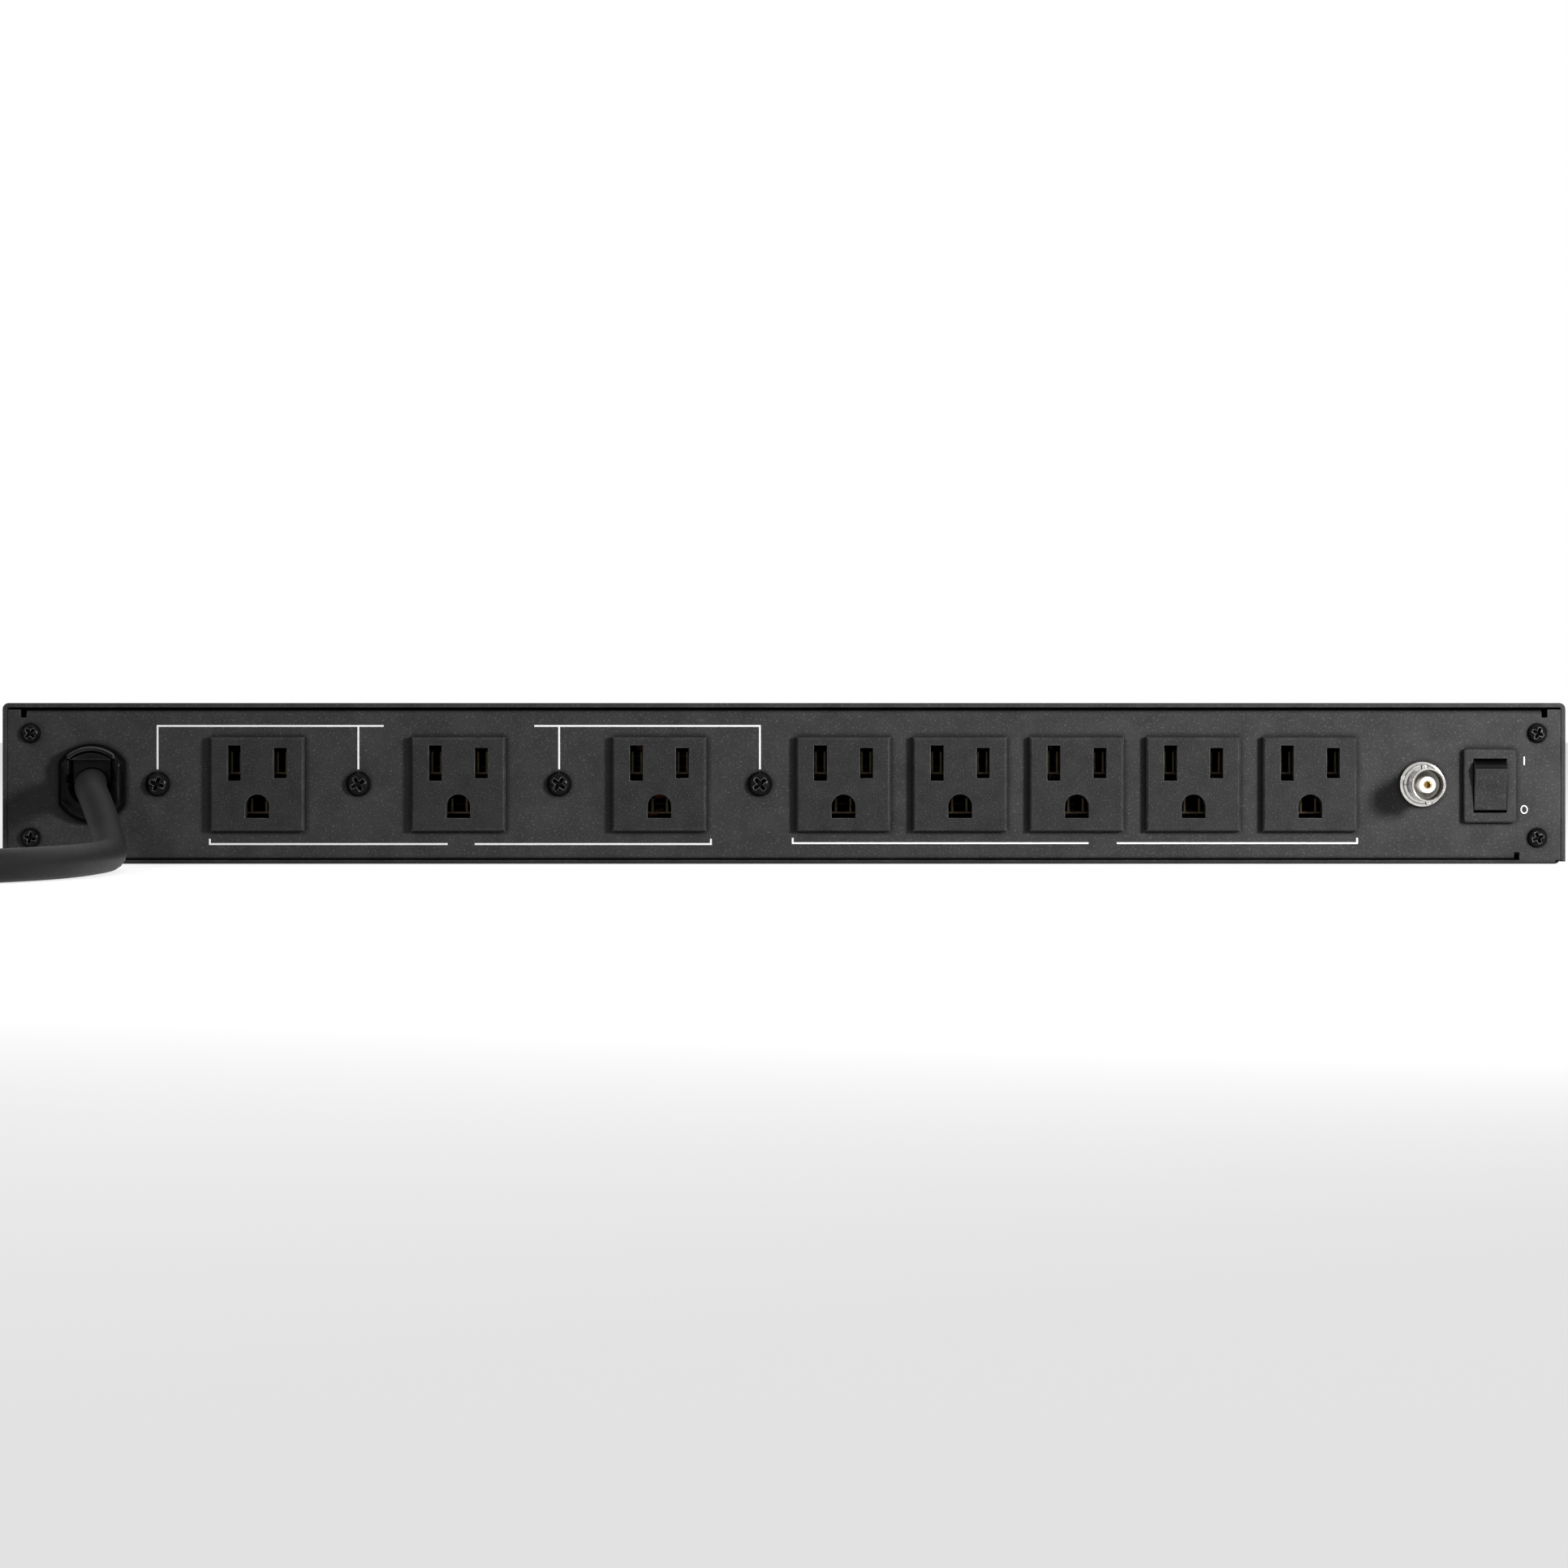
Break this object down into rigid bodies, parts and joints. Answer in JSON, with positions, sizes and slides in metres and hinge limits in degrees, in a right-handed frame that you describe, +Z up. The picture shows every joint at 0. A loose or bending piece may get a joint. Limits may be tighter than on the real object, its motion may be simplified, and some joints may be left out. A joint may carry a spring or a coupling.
{
  "type": "rack power strip",
  "caption": "One-unit rack power strip: steel case with snap-in outlets, lamp socket and rocker switch behind, and a slotted rack panel with controls and pull-out lamps in front",
  "frame": {"origin": "middle of the underside, halfway along the overall depth, on the surface it stands on", "axes": "+X is to the right for someone facing the back panel with the outlets, +Y runs from the back panel to the front rack panel, +Z is up"},
  "size_m": [0.6073, 0.3999, 0.0444],
  "materials": {
    "black_powder_coat": "fine textured black powder coat",
    "black_gloss_plastic": "smooth moulded nylon, semi-gloss black",
    "black_matte_plastic": "moulded black plastic, lightly textured",
    "black_screw": "black oxide steel, oiled sheen",
    "nickel": "bright nickel plate",
    "brass": "bare brass strip",
    "white_plastic": "off-white moulded insulator",
    "cord_jacket": "matte dark grey PVC jacket",
    "zinc_steel": "zinc plated steel",
    "black_anodised": "black anodised aluminium",
    "glass": "clear bulb glass",
    "board_green": "green solder mask on fibreglass",
    "ferrite": "dark sintered core with copper turns",
    "film_yellow": "yellow moulded capacitor case",
    "disc_blue": "blue epoxy dip",
    "lamination": "stacked silicon steel, varnished",
    "coil_tape": "yellow tape over copper windings",
    "wire_pvc": "PVC insulated stranded wire"
  },
  "bodies": {
    "root": {"bnc_contact": "brass", "bnc_insulator": "white_plastic", "bnc_shell": "nickel", "board_standoffs": "zinc_steel", "breaker_body": "black_matte_plastic", "case_screws": "black_screw", "chassis_tray": "black_powder_coat", "cord_coil": "cord_jacket", "cord_tail": "cord_jacket", "corner_screws": "black_screw", "dimmer_potentiometer": "zinc_steel", "filter_board": "board_green", "filter_capacitors": "film_yellow", "filter_choke": "ferrite", "front_outlet": "black_matte_plastic", "front_panel": "black_anodised", "ground_contacts": "brass", "hot_contacts": "brass", "inside_screws": "zinc_steel", "inside_wiring": "wire_pvc", "lamp_switch_housing": "black_gloss_plastic", "left_lamp_guide": "zinc_steel", "main_switch_housing": "black_gloss_plastic", "neutral_contacts": "brass", "outlet_a1": "black_matte_plastic", "outlet_a2": "black_matte_plastic", "outlet_a3": "black_matte_plastic", "outlet_b1": "black_matte_plastic", "outlet_b2": "black_matte_plastic", "outlet_b3": "black_matte_plastic", "outlet_b4": "black_matte_plastic", "outlet_b5": "black_matte_plastic", "panel_fasteners": "zinc_steel", "plug_blades": "brass", "plug_body": "cord_jacket", "power_cord": "cord_jacket", "rear_panel": "black_powder_coat", "right_lamp_guide": "zinc_steel", "strain_relief": "black_gloss_plastic", "strain_relief_wedge": "black_gloss_plastic", "strap_screws": "black_screw", "surge_varistors": "disc_blue", "switch_terminals": "brass", "top_cover": "black_powder_coat", "transformer_clamp": "zinc_steel", "transformer_coil": "coil_tape", "transformer_core": "lamination"},
    "lamp_rocker": {"lamp_switch_rocker": "black_gloss_plastic"},
    "main_rocker": {"main_switch_rocker": "black_gloss_plastic"},
    "breaker_button_body": {"breaker_button": "black_matte_plastic"},
    "dimmer": {"dimmer_knob": "black_matte_plastic", "dimmer_shaft": "zinc_steel"},
    "left_carrier": {"left_lamp_carrier": "white_plastic"},
    "left_lamp": {"left_lamp_tube": "black_anodised", "left_lamp_cap": "black_anodised", "left_lamp_bulb": "glass"},
    "right_carrier": {"right_lamp_carrier": "white_plastic"},
    "right_lamp": {"right_lamp_tube": "black_anodised", "right_lamp_cap": "black_anodised", "right_lamp_bulb": "glass"}
  },
  "joints": [
    {"name": "lamp_rocker_tilt", "type": "hinge", "parent": "root", "child": "lamp_rocker", "pos_m": [0.1949, -0.10188, 0.0216], "axis": [-1, 0, 0], "range_deg": [0, 25]},
    {"name": "main_rocker_tilt", "type": "hinge", "parent": "root", "child": "main_rocker", "pos_m": [-0.112, 0.10102, 0.0222], "axis": [1, 0, 0], "range_deg": [0, 25]},
    {"name": "breaker_pop", "type": "slide", "parent": "root", "child": "breaker_button_body", "axis": [0, 1, 0], "range_m": [0, 0.004]},
    {"name": "dimmer_turn", "type": "hinge", "parent": "root", "child": "dimmer", "pos_m": [0.072, 0.10325, 0.0222], "axis": [0, 1, 0], "range_deg": [-150, 150]},
    {"name": "left_lamp_slide", "type": "slide", "parent": "root", "child": "left_carrier", "axis": [0, 1, 0], "range_m": [0, 0.1]},
    {"name": "left_lamp_turn", "type": "hinge", "parent": "left_carrier", "child": "left_lamp", "pos_m": [-0.165, 0.10325, 0.0222], "axis": [0, 1, 0], "range_deg": [-90, 90]},
    {"name": "right_lamp_slide", "type": "slide", "parent": "root", "child": "right_carrier", "axis": [0, 1, 0], "range_m": [0, 0.1]},
    {"name": "right_lamp_turn", "type": "hinge", "parent": "right_carrier", "child": "right_lamp", "pos_m": [0.165, 0.10325, 0.0222], "axis": [0, 1, 0], "range_deg": [-90, 90]}
  ]
}
